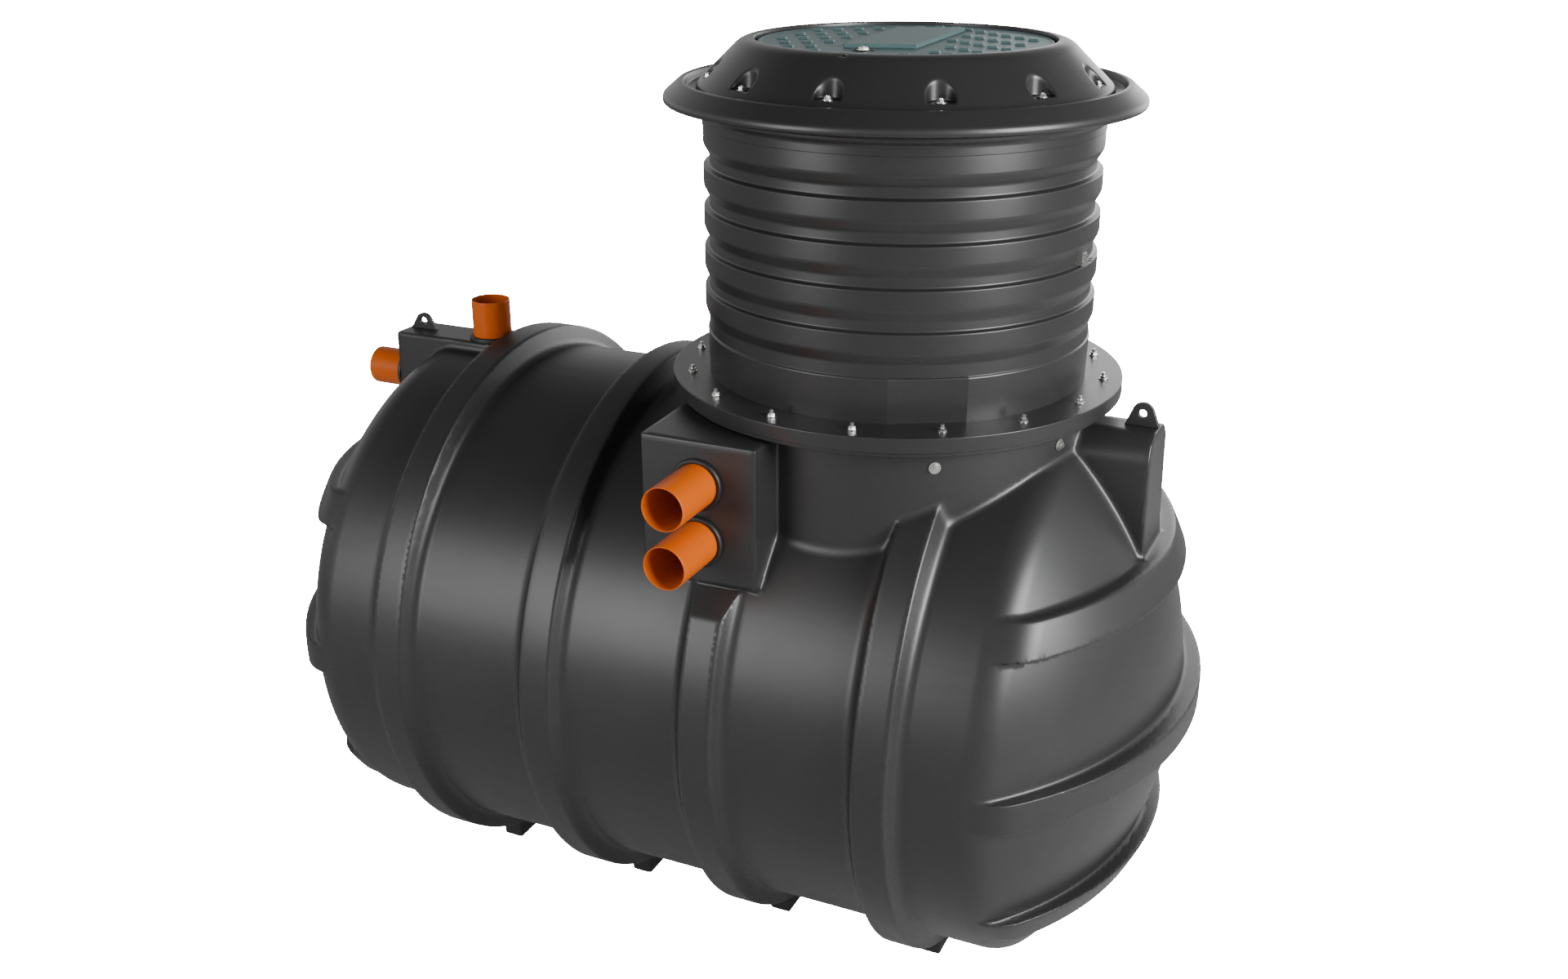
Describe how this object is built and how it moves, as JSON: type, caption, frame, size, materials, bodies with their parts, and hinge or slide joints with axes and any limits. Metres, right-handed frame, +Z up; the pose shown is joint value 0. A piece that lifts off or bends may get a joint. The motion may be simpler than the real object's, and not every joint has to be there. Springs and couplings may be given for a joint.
{
  "type": "packaged sewage treatment plant",
  "caption": "Buried sewage treatment tank with hoops and ribbed ends, pipe boxes, a bolted ribbed riser and a round locking cover.",
  "frame": {"origin": "on the floor under the middle of the whole outline", "axes": "+X along the tank towards the riser end, -Y towards the outlet pipes, +Z up"},
  "size_m": [2.582, 1.5369, 2.431],
  "materials": {
    "tank_plastic": "satin moulded polyethylene",
    "riser_plastic": "satin moulded polyethylene",
    "drain_pipe": "semi-gloss extruded pipe",
    "seal_rubber": "black rubber",
    "lid_plastic": "glossy composite",
    "zinc_steel": "zinc plated"
  },
  "bodies": {
    "root": {"collar": "riser_plastic", "cover_frame": "riser_plastic", "far_end": "tank_plastic", "far_end_ribs": "tank_plastic", "far_lug": "tank_plastic", "flange_bolts": "zinc_steel", "flange_gasket": "seal_rubber", "foot_1": "tank_plastic", "foot_2": "tank_plastic", "foot_3": "tank_plastic", "foot_4": "tank_plastic", "hoop_1": "tank_plastic", "hoop_2": "tank_plastic", "hoop_3": "tank_plastic", "hoop_4": "tank_plastic", "inlet_box": "tank_plastic", "inlet_pipe": "drain_pipe", "inlet_seal": "seal_rubber", "lid": "lid_plastic", "lid_panel": "lid_plastic", "near_end": "tank_plastic", "near_end_ribs": "tank_plastic", "near_lifting_block": "tank_plastic", "near_lug": "tank_plastic", "neck": "tank_plastic", "neck_flange": "tank_plastic", "outlet_box": "tank_plastic", "outlet_pipe_lower": "drain_pipe", "outlet_pipe_upper": "drain_pipe", "outlet_seal_lower": "seal_rubber", "outlet_seal_upper": "seal_rubber", "riser": "riser_plastic", "riser_flange": "riser_plastic", "tank_barrel": "tank_plastic", "vent_pipe": "drain_pipe", "vent_seal": "seal_rubber"}
  },
  "joints": []
}
